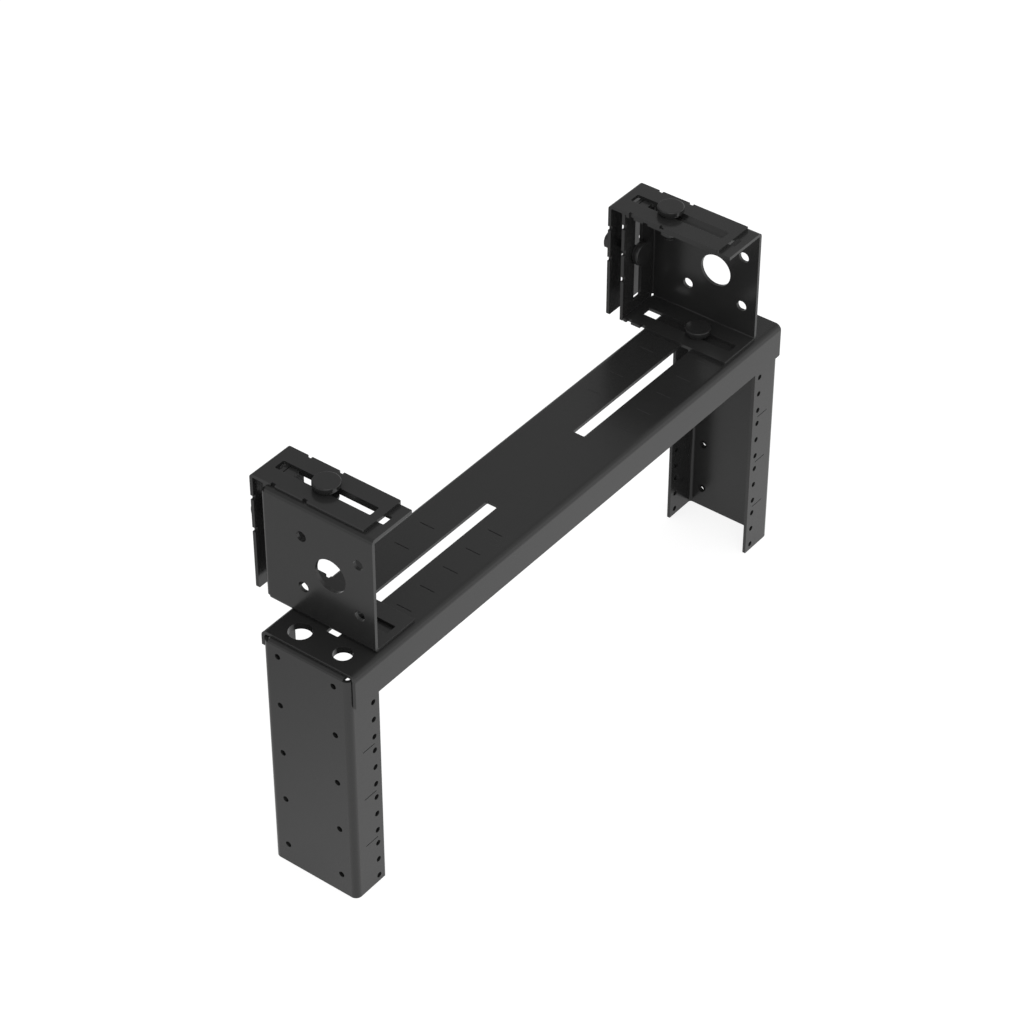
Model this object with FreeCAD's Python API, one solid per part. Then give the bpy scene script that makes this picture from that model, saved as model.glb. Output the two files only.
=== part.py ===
"""Head section of a 19 inch two post open frame relay rack, in millimetres.

Two channel posts stand under a folded header.  A pair of overhead brackets is clamped to the
header through its long slots, and each bracket carries a slide angle clamped to its top and
rear flanges.  X runs across the rack, Y runs from the front to the rear, Z is up.  Sizes are drawn
from the middle of the rack, the outer face of the posts' front flanges and the lower boundary
of the lowest rack unit.  The finished pieces are moved so that the origin lies under the
middle of the whole part, at the level of the posts' feet.
"""
import FreeCAD
import Part
import math
import os

os.makedirs("parts", exist_ok=True)

# Sheet steel that every folded piece is made of, and its bends
sheet = 2.66
bend_inside = 2.3
relief_clearance = 0.2
seam = 0.8
edge_corner = 1.0

# Rack unit pattern of the 19 inch standard
unit = 44.45
units = 4
column_spacing = 465.1
hole_rows = (6.35, 22.225, 38.1)
rack_hole = 4.6
mark_length = 12.7
mark_width = 0.7
mark_depth = 0.35

# Posts
web_to_column = 24.85
post_depth = 76.2
flange_lap = 6.35
post_cut = 0.6
tab_bend_inside = 0.2
web_hole = 4.8
web_hole_pitch = 49.2
web_first_row = 18.3

# Header
header_end_margin = 3.4
lip_clearance = 0.6
lip_corner = 1.0
head_room = 32.0
front_lip = 28.6
rear_lip = 13.2
slot_inner_end = 50.8
slot_outer_margin = 25.4
header_slot_width = 10.2
large_hole = 17.5
small_hole = 14.3
end_hole_inset = 17.9
end_hole_offset = 18.8
mark_offset = 21.6
front_marks = (76.2, 101.6, 127.0, 152.4, 177.8)
rear_marks = (98.8, 127.0, 165.7)

# Overhead brackets
bracket_end_margin = 27.5
bracket_setback = 1.5
bracket_width = 41.8
bracket_depth = 97.2
bracket_height = 97.8
bracket_bend_inside = 0.9
clamp_inset = 23.2
flange_slot_width = 9.5
slot_corner_margin = 10.8
slot_end_margin = 5.4
access_hole = 26.6
access_setback = 37.5
access_rise = 49.2
side_hole = 8.5
side_hole_rise = 44.1
bracket_notch = 4.2
bracket_notch_depth = 2.2
first_flange_notch = 8.4
flange_notch_pitch = 12.6
first_rear_notch = 12.9
rear_notch_pitch = 23.7

# Slide angles
angle_width = 39.3
angle_top_leg = 99.7
angle_rear_leg = 99.7
angle_rear_gap = 9.4
angle_bend_inside = 0.8
angle_corner = 1.5
angle_notch = 3.6
angle_notch_depth = 1.9
angle_notches = (20.8, 48.6)
angle_slot_corner_margin = 9.6
angle_end_margin = 7.0

# Clamping hardware
screw = 8.0
screw_tip = 0.8
disc = 20.3
disc_height = 4.0
disc_rim = 1.0
disc_edge = 0.4
collar = 16.0
washer = 17.0
ring_bore = 8.4
ring_thickness = 2.1
nut_flats = 12.7
nut_height = 11.0
nut_bevel = 1.1
nut_bevel_rise = 0.6
thread_play = 0.1
thread_end = 4.9
rear_thread_end = 1.8
base_screw_offset = 1.0
left_top_screw_y = 59.4
right_top_screw_y = 67.8
rear_screw_rise = 54.05

# Sizes that follow from those above
through = 2 * sheet
post_relief = bend_inside + sheet + relief_clearance
bracket_relief = bracket_bend_inside + sheet + relief_clearance
unit_top = units * unit
header_top = unit_top + head_room
post_top = header_top - sheet
flange_top = post_top - bend_inside
column_x = -column_spacing / 2
web_x = column_x - web_to_column
header_end_x = web_x + header_end_margin
flange_edge_x = column_x + flange_lap
middle_y = post_depth / 2
header_front = -lip_clearance - sheet
header_rear = post_depth + lip_clearance + sheet
bracket_x = header_end_x + bracket_end_margin
bracket_edge_x = bracket_x + bracket_width
bracket_top = header_top + bracket_height
bracket_rear = bracket_setback + bracket_depth
angle_top = bracket_top + sheet
angle_rear = bracket_rear + angle_rear_gap + sheet
angle_front = angle_rear - angle_top_leg
angle_foot = angle_top - angle_rear_leg
clamp_x = bracket_x + clamp_inset
angle_x0 = clamp_x - angle_width / 2
angle_x1 = clamp_x + angle_width / 2
rear_screw_z = header_top + rear_screw_rise

PLACE = {
    "x": lambda along, u, v: FreeCAD.Vector(along, u, v),
    "y": lambda along, u, v: FreeCAD.Vector(u, along, v),
    "z": lambda along, u, v: FreeCAD.Vector(u, v, along),
}


def prism(axis, start, end, points, radii):
    """Solid with a rounded polygon as its section, drawn in the two axes across `axis`."""
    put = PLACE[axis]
    corners = [put(start, u, v) for u, v in points]
    count = len(corners)
    entries = []
    for i, corner in enumerate(corners):
        radius = radii[i]
        if radius <= 0:
            entries.append((corner, None, corner))
            continue
        to_last = (corners[i - 1] - corner).normalize()
        to_next = (corners[(i + 1) % count] - corner).normalize()
        half_angle = to_last.getAngle(to_next) / 2
        reach = radius / math.tan(half_angle)
        inward = (to_last + to_next).normalize()
        crown = corner + inward * (radius / math.sin(half_angle) - radius)
        entries.append((corner + to_last * reach, crown, corner + to_next * reach))
    edges = []
    for i, (first, crown, last) in enumerate(entries):
        if crown is not None:
            edges.append(Part.Arc(first, crown, last).toShape())
        following = entries[(i + 1) % count][0]
        if last.distanceToPoint(following) > 1e-6:
            edges.append(Part.LineSegment(last, following).toShape())
    face = Part.Face(Part.Wire(edges))
    return face.extrude(put(end, 0, 0) - put(start, 0, 0))


def block(axis, start, end, u_range, v_range, radius=0.0):
    """Rectangular bar along `axis`, with rounded corners where a radius is given."""
    (u0, u1), (v0, v1) = u_range, v_range
    points = [(u0, v0), (u1, v0), (u1, v1), (u0, v1)]
    return prism(axis, start, end, points, [radius] * 4)


def rod(axis, start, end, u, v, diameter):
    """Round bar or drill along `axis`."""
    put = PLACE[axis]
    direction = put(end, 0, 0) - put(start, 0, 0)
    return Part.makeCylinder(diameter / 2, direction.Length, put(start, u, v), direction)


def folded(axis, start, end, path, inside=bend_inside):
    """Sheet bent at right angles, whose outer face follows `path` with the sheet on its right."""
    count = len(path)
    normals = []
    for (u0, v0), (u1, v1) in zip(path, path[1:]):
        length = math.hypot(u1 - u0, v1 - v0)
        normals.append(((v1 - v0) / length, -(u1 - u0) / length))
    inner = []
    for i, (u, v) in enumerate(path):
        before = normals[max(i - 1, 0)]
        after = normals[min(i, count - 2)]
        share = 1 + before[0] * after[0] + before[1] * after[1]
        step_u = (before[0] + after[0]) / share * sheet
        step_v = (before[1] + after[1]) / share * sheet
        inner.append((u + step_u, v + step_v))
    bends = count - 2
    radii = [0] + [inside + sheet] * bends + [0, 0] + [inside] * bends + [0]
    return prism(axis, start, end, list(path) + inner[::-1], radii)


def end_flange(shape, edge_x, edge_z, side, opened, bend_range, flat_range, inside):
    """Turn the end of an upright wall in as a flange.

    side is 1 where the flange closes the top of the wall and -1 where it closes the foot.  The
    wall is cut back over `opened`, which leaves an open relief beside the bend.
    """
    wall_x = shape.BoundBox.XMin
    reach = inside + sheet + relief_clearance
    near = edge_z - side * reach
    cleared = (wall_x - sheet, wall_x + reach)
    heights = sorted((near, edge_z + side * sheet))
    shape = shape.cut(block("y", opened[0], opened[1], cleared, heights))
    path = [(wall_x, near), (wall_x, edge_z), (edge_x, edge_z)]
    if side < 0:
        path = path[::-1]
    bend = folded("y", bend_range[0], bend_range[1], path, inside)
    depth = sorted((edge_z, edge_z - side * sheet))
    flat = block("y", flat_range[0], flat_range[1], (wall_x + reach, edge_x), depth)
    return shape.fuse([bend, flat])


def clean(shape):
    """One solid without the seams that joining leaves on flat faces."""
    shape = shape.removeSplitter()
    return shape.Solids[0] if len(shape.Solids) == 1 else shape


def mirrored(shape):
    """The same piece for the other side of the rack."""
    return shape.mirror(FreeCAD.Vector(0, 0, 0), FreeCAD.Vector(1, 0, 0))


def rack_rows():
    """Heights of the rack holes above the lowest unit boundary."""
    return [number * unit + row for number in range(units) for row in hole_rows]


def make_post():
    """Left post: a channel with its web outward and a tab turned in under the header."""
    path = [
        (flange_edge_x, 0),
        (web_x, 0),
        (web_x, post_depth),
        (flange_edge_x, post_depth),
    ]
    post = folded("z", post_cut, flange_top, path)
    tab = (post_relief, post_depth - post_relief)
    post = end_flange(post, flange_edge_x, post_top, 1, tab, tab, tab, tab_bend_inside)
    tools = []
    for height in rack_rows():
        tools.append(rod("y", -1, post_depth + 1, column_x, height, rack_hole))
    for row in range(units + 1):
        height = web_first_row + row * unit
        for offset in (-web_hole_pitch / 2, web_hole_pitch / 2):
            tools.append(rod("x", web_x - 1, web_x + through, middle_y + offset, height, web_hole))
    for number in range(1, units):
        low = number * unit - mark_width / 2
        across = (column_x - mark_length, column_x)
        tools.append(block("y", -1, mark_depth, across, (low, low + mark_width)))
    tools.append(header_end_holes(post_top - through, header_top + 1))
    tools.append(header_slot(post_top - through, header_top + 1))
    return clean(post.cut(tools))


def header_end_holes(low, high):
    """Drills for the two round holes at the left end of the header."""
    x = web_x + end_hole_inset
    rear = rod("z", low, high, x, middle_y + end_hole_offset, large_hole)
    front = rod("z", low, high, x, middle_y - end_hole_offset, small_hole)
    return rear.fuse(front)


def header_slot(low, high):
    """Cutter for the long slot in the left half of the header."""
    half = header_slot_width / 2
    along = (header_end_x + slot_outer_margin, -slot_inner_end)
    return block("z", low, high, along, (middle_y - half, middle_y + half), edge_corner)


def make_header():
    """Folded header: a deep front lip, a short rear lip, slots, holes and index marks."""
    half = -header_end_x
    path = [
        (header_front, header_top - front_lip),
        (header_front, header_top),
        (header_rear, header_top),
        (header_rear, header_top - rear_lip),
    ]
    header = folded("x", -half, half, path)
    foot = header_top - front_lip
    corners = [(-half, foot), (half, foot), (half, header_top + 1), (-half, header_top + 1)]
    radii = [lip_corner, lip_corner, 0, 0]
    header = header.common(prism("y", header_front - 1, header_rear + 1, corners, radii))
    tools = []
    ends = header_end_holes(header_top - through, header_top + 1)
    slot = header_slot(header_top - through, header_top + 1)
    tools += [ends, mirrored(ends), slot, mirrored(slot)]
    for positions, centre in ((front_marks, middle_y - mark_offset), (rear_marks, middle_y + mark_offset)):
        for x in [side * position for position in positions for side in (-1, 1)]:
            across = (x - mark_width / 2, x + mark_width / 2)
            along = (centre - mark_length / 2, centre + mark_length / 2)
            tools.append(block("z", header_top - mark_depth, header_top + 1, across, along))
    return clean(header.cut(tools))


def make_bracket():
    """Left overhead bracket: a side plate with its top, rear and foot turned in."""
    front = bracket_setback
    rear = bracket_rear
    path = [(bracket_x, front), (bracket_x, rear), (bracket_edge_x, rear)]
    bracket = folded("z", header_top, bracket_top, path, bracket_bend_inside)
    opened = (front - 1, rear + 1)
    bend_range = (front, rear - bracket_relief)
    flat_range = (front, rear - sheet - seam)
    for edge_z, side in ((bracket_top, 1), (header_top, -1)):
        ranges = (opened, bend_range, flat_range)
        bracket = end_flange(bracket, bracket_edge_x, edge_z, side, *ranges, bracket_bend_inside)
    tools = []
    slot_x = (clamp_x - flange_slot_width / 2, clamp_x + flange_slot_width / 2)
    slot_y = (front + slot_end_margin, rear - slot_corner_margin)
    slot_z = (header_top + slot_corner_margin, bracket_top - slot_corner_margin)
    rear_cut = (rear - through, rear + 1)
    tools.append(block("z", header_top - 1, bracket_top + 1, slot_x, slot_y, edge_corner))
    tools.append(block("y", rear_cut[0], rear_cut[1], slot_x, slot_z, edge_corner))
    centre_y = front + access_setback
    centre_z = header_top + access_rise
    reach = (bracket_x - 1, bracket_x + through)
    tools.append(rod("x", reach[0], reach[1], centre_y, centre_z, access_hole))
    for y in (centre_y - web_hole_pitch / 2, centre_y + web_hole_pitch / 2):
        for z in (centre_z - side_hole_rise / 2, centre_z + side_hole_rise / 2):
            tools.append(rod("x", reach[0], reach[1], y, z, side_hole))
    notch_x = (bracket_edge_x - bracket_notch_depth, bracket_edge_x + 1)
    for step in range(2):
        y = rear - first_flange_notch - step * flange_notch_pitch
        notch_y = (y - bracket_notch / 2, y + bracket_notch / 2)
        tools.append(block("z", header_top - 1, bracket_top + 1, notch_x, notch_y))
    for step in range(3):
        z = bracket_top - first_rear_notch - step * rear_notch_pitch
        notch_z = (z - bracket_notch / 2, z + bracket_notch / 2)
        tools.append(block("y", rear_cut[0], rear_cut[1], notch_x, notch_z))
    return clean(bracket.cut(tools))


def rounded_end(axis, low, high, root, end):
    """Outline of a leg of the slide angle, whose free end has rounded corners."""
    points = [(angle_x0, root), (angle_x1, root), (angle_x1, end), (angle_x0, end)]
    return prism(axis, low, high, points, [0, 0, angle_corner, angle_corner])


def make_angle():
    """Left slide angle: one leg on the bracket's top flange, one hanging behind it."""
    path = [(angle_front, angle_top), (angle_rear, angle_top), (angle_rear, angle_foot)]
    angle = folded("x", angle_x0, angle_x1, path, angle_bend_inside)
    angle = angle.common(rounded_end("z", angle_foot - 1, angle_top + 1, angle_rear + 1, angle_front))
    angle = angle.common(rounded_end("y", angle_front - 1, angle_rear + 1, angle_top + 1, angle_foot))
    half = flange_slot_width / 2
    slot_x = (clamp_x - half, clamp_x + half)
    slot_y = (angle_front + angle_end_margin, angle_rear - angle_slot_corner_margin)
    slot_z = (angle_foot + angle_end_margin, angle_top - angle_slot_corner_margin)
    over = (angle_top - through, angle_top + 1)
    behind = (angle_rear - through, angle_rear + 1)
    tools = [
        block("z", over[0], over[1], slot_x, slot_y, edge_corner),
        block("y", behind[0], behind[1], slot_x, slot_z, edge_corner),
    ]
    for edge in (angle_x0, angle_x1):
        notch_x = (edge - angle_notch_depth, edge + angle_notch_depth)
        for distance in angle_notches:
            y = angle_rear - distance
            z = angle_top - distance
            notch_y = (y - angle_notch / 2, y + angle_notch / 2)
            notch_z = (z - angle_notch / 2, z + angle_notch / 2)
            tools.append(block("z", over[0], over[1], notch_x, notch_y))
            tools.append(block("y", behind[0], behind[1], notch_x, notch_z))
    return clean(angle.cut(tools))


def turned(axis, u, v, outline):
    """Solid of revolution about a line along `axis`, from pairs of a place on it and a radius."""
    put = PLACE[axis]
    corners = [put(along, u + radius, v) for along, radius in outline]
    face = Part.Face(Part.makePolygon(corners + corners[:1]))
    return face.revolve(put(0, u, v), put(1, 0, 0), 360)


def make_screw(axis, seat, sense, end, u, v):
    """Screw turned with a round flat head on its seat and a shank that runs back to `end`."""
    face = seat + sense * disc_height
    outline = [
        (face, 0),
        (face, disc / 2 - disc_rim),
        (face - sense * disc_rim, disc / 2),
        (seat + sense * disc_edge, disc / 2),
        (seat, disc / 2 - disc_edge),
        (seat, screw / 2),
        (end + sense * screw_tip, screw / 2),
        (end, screw / 2 - screw_tip),
        (end, 0),
    ]
    return turned(axis, u, v, outline)


def make_ring(axis, seat, sense, outer, u, v):
    """Flat ring around a screw's shank, standing on its seat."""
    far = seat + sense * ring_thickness
    return rod(axis, seat, far, u, v, outer).cut(rod(axis, seat, far, u, v, ring_bore))


def make_nut(axis, seat, sense, u, v):
    """Hexagon nut on its seat, two flats towards the sides, its outer corners bevelled."""
    far = seat + sense * nut_height
    corner = nut_flats / math.cos(math.pi / 6) / 2
    points = []
    for number in range(6):
        turn = math.radians(30 + number * 60)
        points.append((u + corner * math.cos(turn), v + corner * math.sin(turn)))
    nut = prism(axis, seat, far, points, [0] * 6)
    outline = [
        (seat, 0),
        (seat, corner + nut_bevel),
        (far - 2 * sense * nut_bevel_rise, corner + nut_bevel),
        (far, corner - nut_bevel),
        (far, 0),
    ]
    nut = nut.common(turned(axis, u, v, outline))
    return nut.cut(rod(axis, seat, far, u, v, screw + 2 * thread_play))


def clamp(name, side, axis, sense, faces, past_nut, u, v):
    """Screw, collar, washer and nut that clamp two sheets between a pair of faces.

    The head stands over the first face, on the side that `sense` points to, and the nut over
    the second.  The screw stands out of its nut by `past_nut`.
    """
    head_seat = faces[0] + sense * ring_thickness
    nut_seat = faces[1] - sense * ring_thickness
    end = nut_seat - sense * (nut_height + past_nut)
    return {
        name + "_screw_" + side: make_screw(axis, head_seat, sense, end, u, v),
        name + "_collar_" + side: make_ring(axis, faces[0], sense, collar, u, v),
        name + "_washer_" + side: make_ring(axis, faces[1], -sense, washer, u, v),
        name + "_nut_" + side: make_nut(axis, nut_seat, -sense, u, v),
    }


post = make_post()
bracket = make_bracket()
angle = make_angle()
pieces = {
    "header": make_header(),
    "post_left": post,
    "post_right": mirrored(post),
    "bracket_left": bracket,
    "bracket_right": mirrored(bracket),
    "slide_angle_left": angle,
    "slide_angle_right": mirrored(angle),
}
base_faces = (header_top + sheet, post_top)
top_faces = (angle_top, bracket_top - sheet)
rear_faces = (bracket_rear - sheet, angle_rear)
base_y = middle_y + base_screw_offset
for side, x, top_y in (("left", clamp_x, left_top_screw_y), ("right", -clamp_x, right_top_screw_y)):
    pieces.update(clamp("base", side, "z", 1, base_faces, thread_end, x, base_y))
    pieces.update(clamp("top", side, "z", 1, top_faces, thread_end, x, top_y))
    pieces.update(clamp("rear", side, "y", -1, rear_faces, rear_thread_end, x, rear_screw_z))

rear_face = angle_rear + ring_thickness + nut_height + rear_thread_end
origin = FreeCAD.Vector(0, (header_front + rear_face) / 2, post_cut)
for name, shape in pieces.items():
    shape.translate(-origin)
    shape.exportStep("parts/" + name + ".step")
    print(name, shape.isValid(), len(shape.Solids), round(shape.Volume, 1))
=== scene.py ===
"""Dress of the head section of a 19 inch two post open frame rack: satin black powder coat on folded
steel sheet, tapped holes, threaded clamping screws, black nuts and washers, and a plain pale studio."""
import math
import bpy
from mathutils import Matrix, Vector


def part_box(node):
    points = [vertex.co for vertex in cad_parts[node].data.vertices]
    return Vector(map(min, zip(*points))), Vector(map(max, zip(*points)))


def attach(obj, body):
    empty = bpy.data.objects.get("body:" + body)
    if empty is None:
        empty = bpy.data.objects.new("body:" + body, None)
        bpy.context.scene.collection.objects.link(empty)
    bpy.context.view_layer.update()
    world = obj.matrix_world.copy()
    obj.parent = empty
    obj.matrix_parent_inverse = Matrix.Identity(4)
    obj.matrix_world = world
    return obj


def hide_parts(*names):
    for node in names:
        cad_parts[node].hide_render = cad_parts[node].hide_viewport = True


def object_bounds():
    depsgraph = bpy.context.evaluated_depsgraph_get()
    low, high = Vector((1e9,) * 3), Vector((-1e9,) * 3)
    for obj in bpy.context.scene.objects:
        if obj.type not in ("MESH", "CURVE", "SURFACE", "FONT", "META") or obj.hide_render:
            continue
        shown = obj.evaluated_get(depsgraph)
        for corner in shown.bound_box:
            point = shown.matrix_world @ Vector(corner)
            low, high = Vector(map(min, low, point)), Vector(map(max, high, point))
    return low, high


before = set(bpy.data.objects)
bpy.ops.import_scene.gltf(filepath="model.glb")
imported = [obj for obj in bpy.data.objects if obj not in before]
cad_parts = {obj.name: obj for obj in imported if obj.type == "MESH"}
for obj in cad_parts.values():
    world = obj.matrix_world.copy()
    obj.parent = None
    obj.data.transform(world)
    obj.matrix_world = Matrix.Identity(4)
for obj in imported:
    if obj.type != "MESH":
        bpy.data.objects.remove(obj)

cad_low, cad_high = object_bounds()


# Camera. It looks down on the left front corner of the rack, as the photograph does. Its place is
# measured from the front faces of the posts and from their feet.
post_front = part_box("post_left")[0].y
foot = cad_low.z
camera_data = bpy.data.cameras.new("camera")
camera_data.lens = 115.85
camera_data.sensor_width = 36.0
camera_data.clip_start = 0.05
camera_data.clip_end = 60.0
camera = bpy.data.objects.new("camera", camera_data)
bpy.context.scene.collection.objects.link(camera)
camera.location = (-1.4872, post_front - 1.0833, foot + 1.6765)
looks_at = Vector((-0.0782, post_front, foot + 0.2377))
camera.rotation_mode = "QUATERNION"
camera.rotation_quaternion = (looks_at - camera.location).to_track_quat("-Z", "Y")
bpy.context.scene.camera = camera


# Posts. Each is a channel folded from 2.7 mm steel sheet, pierced and tapped, and coated with a
# satin black powder that leaves a very fine orange peel. Its tab is turned in under the header.
steel = 0.00266
web_to_column = 0.02485
post_cut = 0.0006
post_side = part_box("post_right")[1].x
post_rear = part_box("post_left")[1].y
middle_y = (post_front + post_rear) / 2
hole_column = post_side - web_to_column
lowest_unit = foot - post_cut


def feed(tree, socket, value):
    """Set a socket to a plain value, or link it to the socket that makes the value."""
    if isinstance(value, bpy.types.NodeSocket):
        tree.links.new(value, socket)
    else:
        socket.default_value = value


def place(tree, kind, **sockets):
    """One node of a tree, with its plain input values or the sockets that feed them."""
    node = tree.nodes.new(kind)
    for name, value in sockets.items():
        feed(tree, node.inputs[name.replace("_", " ")], value)
    return node


def arithmetic(tree, operation, first, second=0.0, third=0.0):
    """The output of one Math node."""
    node = tree.nodes.new("ShaderNodeMath")
    node.operation = operation
    for socket, value in zip(node.inputs, (first, second, third)):
        feed(tree, socket, value)
    return node.outputs[0]


def between(tree, share, low, high):
    """A value that runs from low to high as a share runs from 0 to 1."""
    return arithmetic(tree, "MULTIPLY_ADD", share, high - low, low)


def add_sockets(tree, side, sockets):
    """Named sockets on one side of a tree, with starting values where they have them."""
    for name, kind, *value in sockets:
        socket = tree.interface.new_socket(name, in_out=side, socket_type="NodeSocket" + kind)
        if value:
            socket.default_value = value[0]


def coat_skin_group():
    """Powder coat: orange peel, flow patches, paler edges, and the sheen that goes with them. The paler
    edges are partly the thinner coat there and partly a painted highlight.
    """
    tree = bpy.data.node_groups.new("coat_skin", "ShaderNodeTree")
    add_sockets(tree, "INPUT", (
        ("Coat", "Color", (0.02, 0.02, 0.02, 1.0)),
        ("Edge Coat", "Color", (0.025, 0.025, 0.025, 1.0)),
        ("Peel Scale", "Float", 1400.0),
        ("Peel Depth", "Float", 0.00001),
        ("Sheen Roughness", "Float", 0.24),
        ("Edge Width", "Float", 0.00015),
    ))
    add_sockets(tree, "OUTPUT", (("Color", "Color"), ("Roughness", "Float"), ("Normal", "Vector")))
    given = tree.nodes.new("NodeGroupInput").outputs
    result = tree.nodes.new("NodeGroupOutput").inputs
    where = tree.nodes.new("ShaderNodeTexCoord").outputs["Object"]

    peel = place(
        tree, "ShaderNodeTexNoise", Vector=where, Scale=given["Peel Scale"], Detail=3.0, Roughness=0.55
    ).outputs["Fac"]
    pores = place(
        tree, "ShaderNodeTexNoise", Vector=where, Scale=5200.0, Detail=1.0, Roughness=0.5
    ).outputs["Fac"]
    flow = place(
        tree, "ShaderNodeTexNoise", Vector=where, Scale=9.0, Detail=4.0, Roughness=0.6
    ).outputs["Fac"]

    rounded = place(tree, "ShaderNodeBevel", Radius=given["Edge Width"])
    rounded.samples = 4
    facing = tree.nodes.new("ShaderNodeVectorMath")
    facing.operation = "DOT_PRODUCT"
    tree.links.new(rounded.outputs["Normal"], facing.inputs[0])
    tree.links.new(tree.nodes.new("ShaderNodeNewGeometry").outputs["Normal"], facing.inputs[1])
    turned = arithmetic(tree, "SUBTRACT", 1.0, facing.outputs["Value"])
    # Paler edges: partly the thinner coat on edges, partly a painted highlight where they catch light.
    edge_mask = place(tree, "ShaderNodeMapRange", Value=turned, From_Min=0.03, From_Max=0.3)
    broken = arithmetic(tree, "MULTIPLY", edge_mask.outputs["Result"], between(tree, flow, 0.1, 1.3))
    tint = tree.nodes.new("ShaderNodeMix")
    tint.data_type = "RGBA"
    tree.links.new(broken, tint.inputs["Factor"])
    tree.links.new(given["Coat"], tint.inputs["A"])
    tree.links.new(given["Edge Coat"], tint.inputs["B"])

    drift = between(tree, flow, 0.88, 1.12)
    grain = between(tree, pores, 0.85, 1.15)
    shade = place(
        tree,
        "ShaderNodeHueSaturation",
        Value=arithmetic(tree, "MULTIPLY", drift, grain),
        Color=tint.outputs["Result"],
    )
    tree.links.new(shade.outputs["Color"], result["Color"])

    patchy = between(tree, flow, -0.05, 0.05)
    fine = between(tree, peel, -0.06, 0.06)
    uneven = arithmetic(tree, "ADD", patchy, fine)
    tree.links.new(arithmetic(tree, "ADD", given["Sheen Roughness"], uneven), result["Roughness"])

    relief = arithmetic(tree, "MULTIPLY_ADD", pores, 0.25, peel)
    bump = place(
        tree,
        "ShaderNodeBump",
        Height=relief,
        Distance=given["Peel Depth"],
        Normal=rounded.outputs["Normal"],
    )
    tree.links.new(bump.outputs["Normal"], result["Normal"])
    return tree


coat_skin = coat_skin_group()


def coated(name, group, specular, **values):
    """A new paint whose colour, roughness and relief come from a shared effect with its own values."""
    material = bpy.data.materials.new(name)
    material.use_nodes = True
    tree = material.node_tree
    surface = tree.nodes["Principled BSDF"]
    surface.inputs["Metallic"].default_value = 0.0
    surface.inputs["IOR"].default_value = 1.5
    surface.inputs["Specular IOR Level"].default_value = specular
    effect = tree.nodes.new("ShaderNodeGroup")
    effect.node_tree = group
    for socket, value in values.items():
        feed(tree, effect.inputs[socket.replace("_", " ")], value)
    tree.links.new(effect.outputs["Color"], surface.inputs["Base Color"])
    tree.links.new(effect.outputs["Roughness"], surface.inputs["Roughness"])
    if "Normal" in effect.outputs:
        tree.links.new(effect.outputs["Normal"], surface.inputs["Normal"])
    return material


def powder_coat(
    name, coat, edge_coat_and_highlight, peel=1400.0, depth=0.00001, roughness=0.24, width=0.00015, specular=0.36
):
    """Black powder coat of one piece: its colour, its paler edges (thinner coat and painted highlight)
    and its orange peel.
    """
    return coated(
        name,
        coat_skin,
        specular,
        Coat=(*coat, 1.0),
        Edge_Coat=(*edge_coat_and_highlight, 1.0),
        Peel_Scale=peel,
        Peel_Depth=depth,
        Sheen_Roughness=roughness,
        Edge_Width=width,
    )


def finish_node(name, material):
    """Give a piece of the frame its finish in every material slot."""
    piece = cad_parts[name]
    if not piece.material_slots:
        piece.data.materials.append(material)
    for held in piece.material_slots:
        held.material = material


post_coat = powder_coat("post_powder_coat", (0.0208, 0.0208, 0.0206), (0.025, 0.025, 0.0248))
finish_node("post_left", post_coat)
finish_node("post_right", post_coat)


# Unit lines. A short line is pressed into each front flange at every unit boundary, and a thin
# near-black matt bar lies in it: painted shade in the groove.
rack_unit = 0.04445
units = 4
line_reach = 0.0127
line_bar_sink = 0.00018
line_bar_height = 0.0003
unit_bar_width = 0.0014
sharp_angle = math.radians(32)


def open_tree(name, sockets):
    """A geometry tree that starts from points, with its named inputs, and its input sockets."""
    tree = bpy.data.node_groups.new(name, "GeometryNodeTree")
    add_sockets(tree, "INPUT", (("Points", "Geometry"), *sockets, ("Material", "Material")))
    add_sockets(tree, "OUTPUT", (("Piece", "Geometry"),))
    return tree, tree.nodes.new("NodeGroupInput").outputs


def close_tree(tree, geometry, given):
    """End a geometry tree with real faces in one material."""
    real = place(tree, "GeometryNodeRealizeInstances", Geometry=geometry)
    painted = place(
        tree, "GeometryNodeSetMaterial", Geometry=real.outputs[0], Material=given["Material"]
    )
    tree.links.new(painted.outputs[0], tree.nodes.new("NodeGroupOutput").inputs[0])


def baked(name, points, edges, tree, slot, **values):
    """A plain mesh piece that a tree makes from its points, riding on the rack."""
    seed = bpy.data.meshes.new(name + "_points")
    seed.from_pydata(points, edges, [])
    piece = bpy.data.objects.new(name, seed)
    bpy.context.scene.collection.objects.link(piece)
    modifier = piece.modifiers.new(tree.name, "NODES")
    modifier.node_group = tree
    for item in tree.interface.items_tree:
        key = item.name.replace(" ", "_")
        if item.in_out == "INPUT" and key in values:
            modifier[item.identifier] = values[key]
    graph = bpy.context.evaluated_depsgraph_get()
    mesh = bpy.data.meshes.new_from_object(piece.evaluated_get(graph))
    piece.modifiers.remove(modifier)
    piece.data = mesh
    mesh.name = name
    mesh.shade_smooth()
    mesh.set_sharp_from_angle(angle=sharp_angle)
    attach(piece, "root")
    return piece


def line_tree():
    """Sets one thin bar on every point, to lie in a pressed line as painted shade, and on the header's
    right as a painted highlight.
    """
    tree, given = open_tree("index_lines", (("Line Size", "Vector", (0.01, 0.001, 0.001)),))
    bar = place(tree, "GeometryNodeMeshCube", Size=given["Line Size"])
    bars = place(
        tree,
        "GeometryNodeInstanceOnPoints",
        Points=given["Points"],
        Instance=bar.outputs["Mesh"],
    )
    close_tree(tree, bars.outputs["Instances"], given)
    return tree


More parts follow.
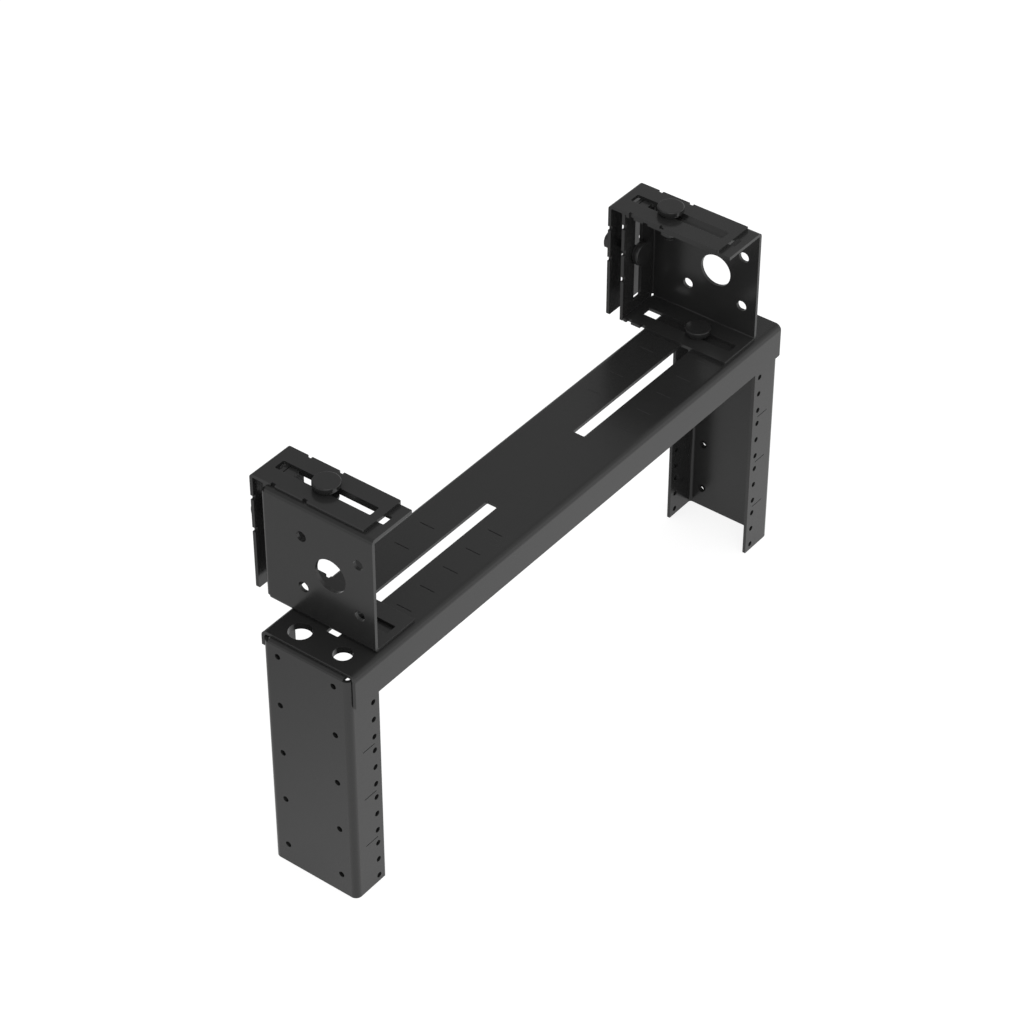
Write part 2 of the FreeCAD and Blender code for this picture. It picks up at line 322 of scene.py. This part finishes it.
def clouded_skin_group():
    """Colour and roughness that drift between two ends with a fine noise."""
    tree = bpy.data.node_groups.new("clouded_skin", "ShaderNodeTree")
    add_sockets(tree, "INPUT", (
        ("Low Color", "Color", (0.0, 0.0, 0.0, 1.0)),
        ("High Color", "Color", (0.03, 0.03, 0.03, 1.0)),
        ("Low Roughness", "Float", 0.2),
        ("High Roughness", "Float", 0.6),
        ("Grain Scale", "Float", 1000.0),
        ("Grain Detail", "Float", 2.0),
        ("Grain Roughness", "Float", 0.5),
    ))
    add_sockets(tree, "OUTPUT", (("Color", "Color"), ("Roughness", "Float")))
    given = tree.nodes.new("NodeGroupInput").outputs
    result = tree.nodes.new("NodeGroupOutput").inputs
    cloud = place(
        tree,
        "ShaderNodeTexNoise",
        Vector=tree.nodes.new("ShaderNodeTexCoord").outputs["Object"],
        Scale=given["Grain Scale"],
        Detail=given["Grain Detail"],
        Roughness=given["Grain Roughness"],
    ).outputs["Fac"]
    tone = tree.nodes.new("ShaderNodeMix")
    tone.data_type = "RGBA"
    tree.links.new(cloud, tone.inputs["Factor"])
    tree.links.new(given["Low Color"], tone.inputs["A"])
    tree.links.new(given["High Color"], tone.inputs["B"])
    tree.links.new(tone.outputs["Result"], result["Color"])
    spread = arithmetic(tree, "SUBTRACT", given["High Roughness"], given["Low Roughness"])
    rough = arithmetic(tree, "MULTIPLY_ADD", cloud, spread, given["Low Roughness"])
    tree.links.new(rough, result["Roughness"])
    return tree


index_lines = line_tree()
clouded_skin = clouded_skin_group()


def painted_line_tone(name, low, high):
    """Matt paint of a pressed line, between two grey tones: painted shade where near black, a painted
    highlight where paler than the coat.
    """
    return coated(
        name,
        clouded_skin,
        0.05,
        Low_Color=(low, low, low, 1.0),
        High_Color=(high, high, high, 1.0),
        Low_Roughness=0.6,
        High_Roughness=0.8,
        Grain_Scale=2600.0,
        Grain_Detail=2.0,
        Grain_Roughness=0.5,
    )


# Painted shade: near-black bars in the pressed unit lines and in the header's left lines.
line_shade_paint = painted_line_tone("dark_line_ink", 0.002, 0.006)
unit_points = []
for side in (-1, 1):
    for number in range(1, units):
        middle = side * (hole_column + line_reach / 2)
        unit_points.append((middle, post_front + line_bar_sink, lowest_unit + number * rack_unit))
baked(
    "unit_lines",
    unit_points,
    [],
    index_lines,
    "coat",
    Line_Size=(line_reach, line_bar_height, unit_bar_width),
    Material=line_shade_paint,
)


# Tapped holes. Three rows a unit in the flanges take the equipment's screws. The holes in the web
# are drawn: a low collar stands round each inside the channel, so that its thread is longer.
hole_rows = (0.00635, 0.022225, 0.0381)
rack_bore = 0.0023
web_bore = 0.0024
web_first_row = 0.0183
web_hole_spacing = 0.0492
collar = 0.001
collar_wall = 0.0006
collar_lead = 0.00025
rack_thread_depth = 0.00036
web_thread_depth = 0.00025
face_gap = 0.00002
weld_distance = 0.000001


def grid_skin(tree, given):
    """A grid to bend round an axis: its mesh, and for each point its share of the turn and its row."""
    grid = place(
        tree,
        "GeometryNodeMeshGrid",
        Size_X=1.0,
        Size_Y=1.0,
        Vertices_X=given["Segments"],
        Vertices_Y=given["Rows"],
    )
    at = tree.nodes.new("GeometryNodeInputPosition").outputs[0]
    spot = place(tree, "ShaderNodeSeparateXYZ", Vector=at).outputs
    share = arithmetic(tree, "ADD", spot["X"], 0.5)
    last = arithmetic(tree, "SUBTRACT", given["Rows"], 1.0)
    climb = arithmetic(tree, "MULTIPLY", arithmetic(tree, "ADD", spot["Y"], 0.5), last)
    return grid.outputs["Mesh"], share, arithmetic(tree, "ROUND", climb)


def thread_wave(tree, height, pitch, share, winding):
    """A wave along a helix, which goes from 1 to 0 and back to 1 over each pitch."""
    turns = arithmetic(tree, "DIVIDE", height, pitch)
    phase = arithmetic(tree, "FRACT", arithmetic(tree, winding, turns, share))
    return arithmetic(tree, "ABSOLUTE", arithmetic(tree, "MULTIPLY_ADD", phase, 2.0, -1.0))


def bent_round(tree, grid, share, radius, height):
    """A grid bent round its axis, with a radius and a height for each point, and closed at its seam."""
    angle = arithmetic(tree, "MULTIPLY", share, 2 * math.pi)
    where = place(
        tree,
        "ShaderNodeCombineXYZ",
        X=arithmetic(tree, "MULTIPLY", radius, arithmetic(tree, "COSINE", angle)),
        Y=arithmetic(tree, "MULTIPLY", radius, arithmetic(tree, "SINE", angle)),
        Z=height,
    )
    bent = place(tree, "GeometryNodeSetPosition", Geometry=grid, Position=where.outputs[0])
    closed = place(
        tree, "GeometryNodeMergeByDistance", Geometry=bent.outputs[0], Distance=weld_distance
    )
    return closed.outputs[0]


def tapping_tree():
    """Lines every bore with a helical thread, as a closed ring of steel.

    The first row of the grid and its last two are the ring's outer wall, which stands off the bore
    by Wall. The rows between climb the thread. Lead is how wide the thread opens at both ends, and
    below zero it leaves them plain.
    """
    tree, given = open_tree("tapped_bores", (
        ("Bore", "Float", 0.0024),
        ("Thread Depth", "Float", 0.0004),
        ("Pitch", "Float", 0.000794),
        ("Steel", "Float", 0.0026),
        ("Wall", "Float", 0.00008),
        ("Lead", "Float", -0.001),
        ("Segments", "Int", 24),
        ("Rows", "Int", 26),
        ("Turn", "Vector", (0.0, 0.0, 0.0)),
    ))
    grid, share, row = grid_skin(tree, given)
    last = arithmetic(tree, "SUBTRACT", given["Rows"], 1.0)
    thread_end = arithmetic(tree, "SUBTRACT", last, 2.0)

    climbed = arithmetic(tree, "SUBTRACT", row, 1.0)
    up = arithmetic(tree, "DIVIDE", climbed, arithmetic(tree, "SUBTRACT", thread_end, 1.0))
    up = arithmetic(tree, "MINIMUM", arithmetic(tree, "MAXIMUM", up, 0.0), 1.0)
    open_row = arithmetic(tree, "LESS_THAN", row, arithmetic(tree, "SUBTRACT", last, 0.5))
    height = arithmetic(tree, "MULTIPLY", arithmetic(tree, "MULTIPLY", up, open_row), given["Steel"])

    ridge = thread_wave(tree, height, given["Pitch"], share, "ADD")
    crest = arithmetic(tree, "MULTIPLY", ridge, given["Thread Depth"])
    thread = arithmetic(tree, "SUBTRACT", given["Bore"], crest)
    left_over = arithmetic(tree, "SUBTRACT", given["Steel"], height)
    from_end = arithmetic(tree, "MINIMUM", height, left_over)
    widest = arithmetic(tree, "ADD", given["Bore"], given["Lead"])
    opened = arithmetic(tree, "SUBTRACT", widest, from_end)
    inside = arithmetic(tree, "MAXIMUM", thread, opened)

    outside = arithmetic(tree, "ADD", given["Bore"], given["Wall"])
    below = arithmetic(tree, "LESS_THAN", row, 0.5)
    above = arithmetic(tree, "GREATER_THAN", row, arithmetic(tree, "ADD", thread_end, 0.5))
    is_outer = arithmetic(tree, "MAXIMUM", below, above)
    is_inner = arithmetic(tree, "SUBTRACT", 1.0, is_outer)
    outer_part = arithmetic(tree, "MULTIPLY", is_outer, outside)
    radius = arithmetic(tree, "ADD", outer_part, arithmetic(tree, "MULTIPLY", is_inner, inside))

    half = arithmetic(tree, "MULTIPLY", given["Steel"], 0.5)
    ring = bent_round(tree, grid, share, radius, arithmetic(tree, "SUBTRACT", height, half))
    rings = place(
        tree,
        "GeometryNodeInstanceOnPoints",
        Points=given["Points"],
        Instance=ring,
        Rotation=given["Turn"],
    )
    close_tree(tree, rings.outputs["Instances"], given)
    return tree


tapped_bores = tapping_tree()
# Painted shade: the thread lining is far darker and duller than the coat, so the bores read dark.
thread_shade_coat = powder_coat(
    "tapped_thread_coat",
    (0.006, 0.006, 0.006),
    (0.009, 0.009, 0.009),
    peel=2600.0,
    roughness=0.5,
    width=0.0001,
    specular=0.15,
)
flange_holes = []
web_holes = []
for side in (-1, 1):
    for number in range(units):
        for row in hole_rows:
            height = lowest_unit + number * rack_unit + row
            flange_holes.append((side * hole_column, post_front + steel / 2, height))
            flange_holes.append((side * hole_column, post_rear - steel / 2, height))
    for number in range(units + 1):
        height = lowest_unit + web_first_row + number * rack_unit
        for offset in (-web_hole_spacing / 2, web_hole_spacing / 2):
            web_holes.append((side * (post_side - (steel + collar) / 2), middle_y + offset, height))
baked(
    "flange_hole_threads",
    flange_holes,
    [],
    tapped_bores,
    "coat",
    Bore=rack_bore,
    Thread_Depth=rack_thread_depth,
    Steel=steel - 2 * face_gap,
    Turn=(math.pi / 2, 0.0, 0.0),
    Material=thread_shade_coat,
)
baked(
    "web_hole_threads",
    web_holes,
    [],
    tapped_bores,
    "coat",
    Bore=web_bore,
    Thread_Depth=web_thread_depth,
    Steel=steel + collar - 2 * face_gap,
    Wall=collar_wall,
    Lead=collar_lead,
    Turn=(0.0, math.pi / 2, 0.0),
    Material=thread_shade_coat,
)


# Header. A channel of the same sheet laid over the posts, with two long slots for the brackets and
# fine index lines pressed beside them. Its powder came out a touch darker than the posts'.
front_lines = (0.0762, 0.1016, 0.127, 0.1524, 0.1778)
rear_lines = (0.0988, 0.127, 0.1657)
line_offset = 0.0216
bar_end_gap = 0.0001
header_bar_width = 0.0008
header_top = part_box("header")[1].z

header_coat = powder_coat("header_powder_coat", (0.0188, 0.0188, 0.0186), (0.0225, 0.0225, 0.0223))
finish_node("header", header_coat)

# Painted highlight: the header's right lines get pale bars, lighter than the coat; its left lines get
# the near-black bars of painted shade.
line_highlight_paint = painted_line_tone("pale_line_ink", 0.023, 0.031)
for side, name, line_paint in ((-1, "header_lines_left", line_shade_paint), (1, "header_lines_right", line_highlight_paint)):
    header_points = []
    for lines, offset in ((front_lines, -line_offset), (rear_lines, line_offset)):
        for along in lines:
            header_points.append((side * along, middle_y + offset, header_top - line_bar_sink))
    baked(
        name,
        header_points,
        [],
        index_lines,
        "coat",
        Line_Size=(header_bar_width, line_reach - bar_end_gap, line_bar_height),
        Material=line_paint,
    )


# Overhead brackets. Side plates with their top, rear and foot turned in, slotted for the clamping
# screws and notched along the free edges of their flanges.
bracket_coat = powder_coat(
    "bracket_powder_coat", (0.0208, 0.0208, 0.0206), (0.0248, 0.0248, 0.0246), roughness=0.21
)
finish_node("bracket_left", bracket_coat)
finish_node("bracket_right", bracket_coat)


# Slide angles. Narrow slotted strips of the same sheet, bent once to a tight corner and clamped
# on the brackets' tops. Their coat is a little smoother.
angle_coat = powder_coat(
    "angle_powder_coat",
    (0.0188, 0.0188, 0.0187),
    (0.0225, 0.0225, 0.0224),
    roughness=0.18,
    width=0.0001,
)
finish_node("slide_angle_left", angle_coat)
finish_node("slide_angle_right", angle_coat)


# Clamping screws. Each has a plain round head with a soft rim and a shank with a rolled coarse
# thread, blackened all over. One stands in every slot of the brackets.
head_radius = 0.01015
head_height = 0.004
face_ring = 0.005
top_rim = 0.0009
top_rim_edge = 0.0003
top_rim_steps = 8
lower_rim = 0.0005
lower_rim_steps = 4
seat_radius = 0.007
shank_radius = 0.004
tip_taper = 0.0008
thread_top = -0.0005
thread_row = 0.00018


def turning_tree():
    """Spins a profile of radii and heights into a round piece and rolls a thread on its shank."""
    tree, given = open_tree("threaded_screw", (
        ("Segments", "Int", 49),
        ("Rows", "Int", 100),
        ("Shank Radius", "Float", shank_radius),
        ("Thread Depth", "Float", 0.0008),
        ("Pitch", "Float", 0.00141),
        ("Thread Top", "Float", 0.0),
        ("Seat", "Vector", (0.0, 0.0, 0.0)),
        ("Turn", "Vector", (0.0, 0.0, 0.0)),
    ))
    grid, share, row = grid_skin(tree, given)
    drawn = tree.nodes.new("GeometryNodeSampleIndex")
    drawn.data_type = "FLOAT_VECTOR"
    drawn.domain = "POINT"
    tree.links.new(given["Points"], drawn.inputs["Geometry"])
    tree.links.new(tree.nodes.new("GeometryNodeInputPosition").outputs[0], drawn.inputs["Value"])
    tree.links.new(row, drawn.inputs["Index"])
    profile = place(tree, "ShaderNodeSeparateXYZ", Vector=drawn.outputs["Value"]).outputs
    height = profile["Z"]

    slope = thread_wave(tree, height, given["Pitch"], share, "SUBTRACT")
    groove = arithmetic(tree, "MULTIPLY_ADD", slope, 1.3, -0.15)
    groove = arithmetic(tree, "MINIMUM", arithmetic(tree, "MAXIMUM", groove, 0.0), 1.0)
    cut = arithmetic(tree, "MULTIPLY", groove, given["Thread Depth"])
    thread = arithmetic(tree, "SUBTRACT", given["Shank Radius"], cut)
    plain = arithmetic(tree, "GREATER_THAN", height, given["Thread Top"])
    widest = arithmetic(tree, "ADD", thread, plain)
    radius = arithmetic(tree, "MINIMUM", profile["X"], widest)

    spun = bent_round(tree, grid, share, radius, height)
    put = place(
        tree,
        "GeometryNodeTransform",
        Geometry=spun,
        Translation=given["Seat"],
        Rotation=given["Turn"],
    )
    close_tree(tree, put.outputs[0], given)
    return tree


threaded_screw = turning_tree()
screw_coat = powder_coat(
    "screw_black_finish",
    (0.0185, 0.0185, 0.0184),
    (0.022, 0.022, 0.0219),
    peel=2200.0,
    depth=0.000006,
    roughness=0.13,
    width=0.0001,
)


def screw_profile(length):
    """Points, at their radius and height, from the middle of a screw's face down to its tip."""
    top_face = head_radius - top_rim - top_rim_edge
    rows = [(0.0, head_height), (face_ring, head_height), (top_face, head_height)]
    for step in range(top_rim_steps + 1):
        turn = step * math.pi / 2 / top_rim_steps
        radius = head_radius - top_rim * (1 - math.sin(turn))
        rows.append((radius, head_height - top_rim * (1 - math.cos(turn))))
    for step in range(lower_rim_steps + 1):
        turn = step * math.pi / 2 / lower_rim_steps
        rows.append((head_radius - lower_rim * (1 - math.cos(turn)), lower_rim * (1 - math.sin(turn))))
    rows += [(seat_radius, 0.0), (shank_radius, 0.0)]
    count = round(length / thread_row)
    for step in range(1, count + 1):
        rows.append((shank_radius, -step * (length - tip_taper) / count))
    rows.append((shank_radius - tip_taper / 2, tip_taper / 2 - length))
    rows += [(shank_radius - tip_taper, -length), (0.0, -length)]
    return [(radius, 0.0, height) for radius, height in rows]


upright = (0.0, 0.0, 0.0)
pointing_forward = (math.pi / 2, 0.0, 0.0)
for side in ("left", "right"):
    for clamp, turn in (("base", upright), ("top", upright), ("rear", pointing_forward)):
        node = clamp + "_screw_" + side
        low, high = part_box(node)
        middle = (low + high) / 2
        if clamp == "rear":
            seat = (middle.x, low.y + head_height, middle.z)
            length = high.y - low.y - head_height
        else:
            seat = (middle.x, middle.y, high.z - head_height)
            length = high.z - low.z - head_height
        profile = screw_profile(length)
        screw = baked(
            clamp + "_threaded_screw_" + side,
            profile,
            [(number, number + 1) for number in range(len(profile) - 1)],
            threaded_screw,
            "screw",
            Rows=len(profile),
            Thread_Top=thread_top,
            Seat=seat,
            Turn=turn,
            Material=screw_coat,
        )
        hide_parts(node)


# Collars, washers and nuts. Black zinc plated steel, turned or cut from bar, on both sides of each
# clamped pair of sheets.
black_zinc = coated(
    "black_zinc",
    clouded_skin,
    0.4,
    Low_Color=(0.012, 0.012, 0.0125, 1.0),
    High_Color=(0.032, 0.032, 0.0315, 1.0),
    Low_Roughness=0.25,
    High_Roughness=0.45,
    Grain_Scale=700.0,
    Grain_Detail=4.0,
    Grain_Roughness=0.6,
)
for side in ("left", "right"):
    for clamp in ("base", "top", "rear"):
        for kind in ("_collar_", "_washer_", "_nut_"):
            finish_node(clamp + kind + side, black_zinc)


# Studio. A plain pale floor under the posts, a pale surround that metal and paint can reflect, and
# three large soft lamps. The floor glows, painted light: evenly white to the camera, and in the
# paint's reflections darker toward the rear and the right; its base colour is lower to the camera
# and in reflections, so that the shadow on it is faint. In reflections the surround is darker
# toward the rear and high up.
floor_half = 12.0
floor_white = 0.85
rear_span = (-0.12, 0.2)
rear_dimming = (0.85, 0.42)
side_span = (0.15, 0.45)
side_dimming = (1.0, 0.86)
ceiling_span = (0.18, 0.54)
ceiling_dimming = (1.0, 0.42)
back_wall_span = (0.5, 0.72)
back_wall_dimming = (1.0, 0.35)
surround_light = 0.8
lamp_target = Vector((0, 0, 0.12))


def eye_rays(tree):
    """Masks of the camera's own rays, and of those with the rays from reflections and through glass."""
    path = tree.nodes.new("ShaderNodeLightPath").outputs
    seen = arithmetic(tree, "MAXIMUM", path["Is Camera Ray"], path["Is Glossy Ray"])
    return path["Is Camera Ray"], arithmetic(tree, "MAXIMUM", seen, path["Is Transmission Ray"])


def eased(tree, value, span, ends):
    """A value that goes softly from one end to the other while another crosses a span."""
    step = place(
        tree,
        "ShaderNodeMapRange",
        Value=value,
        From_Min=span[0],
        From_Max=span[1],
        To_Min=ends[0],
        To_Max=ends[1],
    )
    step.interpolation_type = "SMOOTHSTEP"
    return step.outputs["Result"]


floor_mesh = bpy.data.meshes.new("studio_floor")
corners = [(-1, -1), (1, -1), (1, 1), (-1, 1)]
floor_mesh.from_pydata([(x * floor_half, y * floor_half, foot) for x, y in corners], [], [(0, 1, 2, 3)])
floor = bpy.data.objects.new("studio_floor", floor_mesh)
bpy.context.scene.collection.objects.link(floor)
floor_paint = bpy.data.materials.new("floor_paint")
floor_paint.use_nodes = True
floor_tree = floor_paint.node_tree
floor_surface = floor_tree.nodes["Principled BSDF"]
floor_surface.inputs["Roughness"].default_value = 0.9
floor_surface.inputs["Specular IOR Level"].default_value = 0.0
floor_surface.inputs["Emission Color"].default_value = (1.0, 1.0, 1.0, 1.0)
floor_straight, floor_eye = eye_rays(floor_tree)
floor_grey = between(floor_tree, floor_eye, 0.8, 0.25)
floor_tone = place(
    floor_tree, "ShaderNodeCombineColor", Red=floor_grey, Green=floor_grey, Blue=floor_grey
)
floor_tree.links.new(floor_tone.outputs[0], floor_surface.inputs["Base Color"])
floor_at = place(
    floor_tree,
    "ShaderNodeSeparateXYZ",
    Vector=floor_tree.nodes.new("ShaderNodeTexCoord").outputs["Object"],
).outputs
# Painted light: the floor's glow seen in reflections dims toward the rear and the right.
rear_fall = eased(floor_tree, floor_at["Y"], rear_span, rear_dimming)
side_fall = eased(floor_tree, floor_at["X"], side_span, side_dimming)
floor_fall = arithmetic(floor_tree, "MULTIPLY", rear_fall, side_fall)
floor_seen = arithmetic(floor_tree, "MULTIPLY", floor_straight, floor_white)
floor_mirrored = arithmetic(floor_tree, "MULTIPLY", floor_fall, floor_eye)
floor_glow = arithmetic(floor_tree, "MAXIMUM", floor_seen, floor_mirrored)
floor_tree.links.new(floor_glow, floor_surface.inputs["Emission Strength"])
floor_mesh.materials.append(floor_paint)

world = bpy.data.worlds.new("studio_surround")
bpy.context.scene.world = world
world.use_nodes = True
air = world.node_tree
surround = air.nodes["Background"]
surround.inputs["Color"].default_value = (1.0, 1.0, 1.0, 1.0)
upward = place(
    air,
    "ShaderNodeSeparateXYZ",
    Vector=air.nodes.new("ShaderNodeTexCoord").outputs["Generated"],
).outputs
ceiling = eased(air, upward["Z"], ceiling_span, ceiling_dimming)
back_wall = eased(air, upward["Y"], back_wall_span, back_wall_dimming)
air_straight, air_eye = eye_rays(air)
air_mirrored = arithmetic(air, "MULTIPLY", ceiling, back_wall)
air_seen = arithmetic(air, "MAXIMUM", air_mirrored, air_straight)
air_lighting = between(air, air_eye, surround_light, 0.0)
air_glow = arithmetic(air, "MULTIPLY_ADD", air_eye, air_seen, air_lighting)
air.links.new(air_glow, surround.inputs["Strength"])

for name, spot, size, energy in (
    ("left_softbox", (-1.5, -1.3, 1.9), 1.6, 8.0),
    ("top_softbox", (-0.4, -0.6, 2.6), 1.8, 8.0),
    ("front_softbox", (1.1, -1.6, 1.1), 2.6, 7.0),
):
    lamp_data = bpy.data.lights.new(name, "AREA")
    lamp_data.shape = "SQUARE"
    lamp_data.size = size
    lamp_data.energy = energy
    lamp = bpy.data.objects.new(name, lamp_data)
    bpy.context.scene.collection.objects.link(lamp)
    lamp.location = spot
    lamp.rotation_mode = "QUATERNION"
    lamp.rotation_quaternion = (lamp_target - Vector(spot)).to_track_quat("-Z", "Y")

bpy.context.scene.view_settings.view_transform = "Standard"
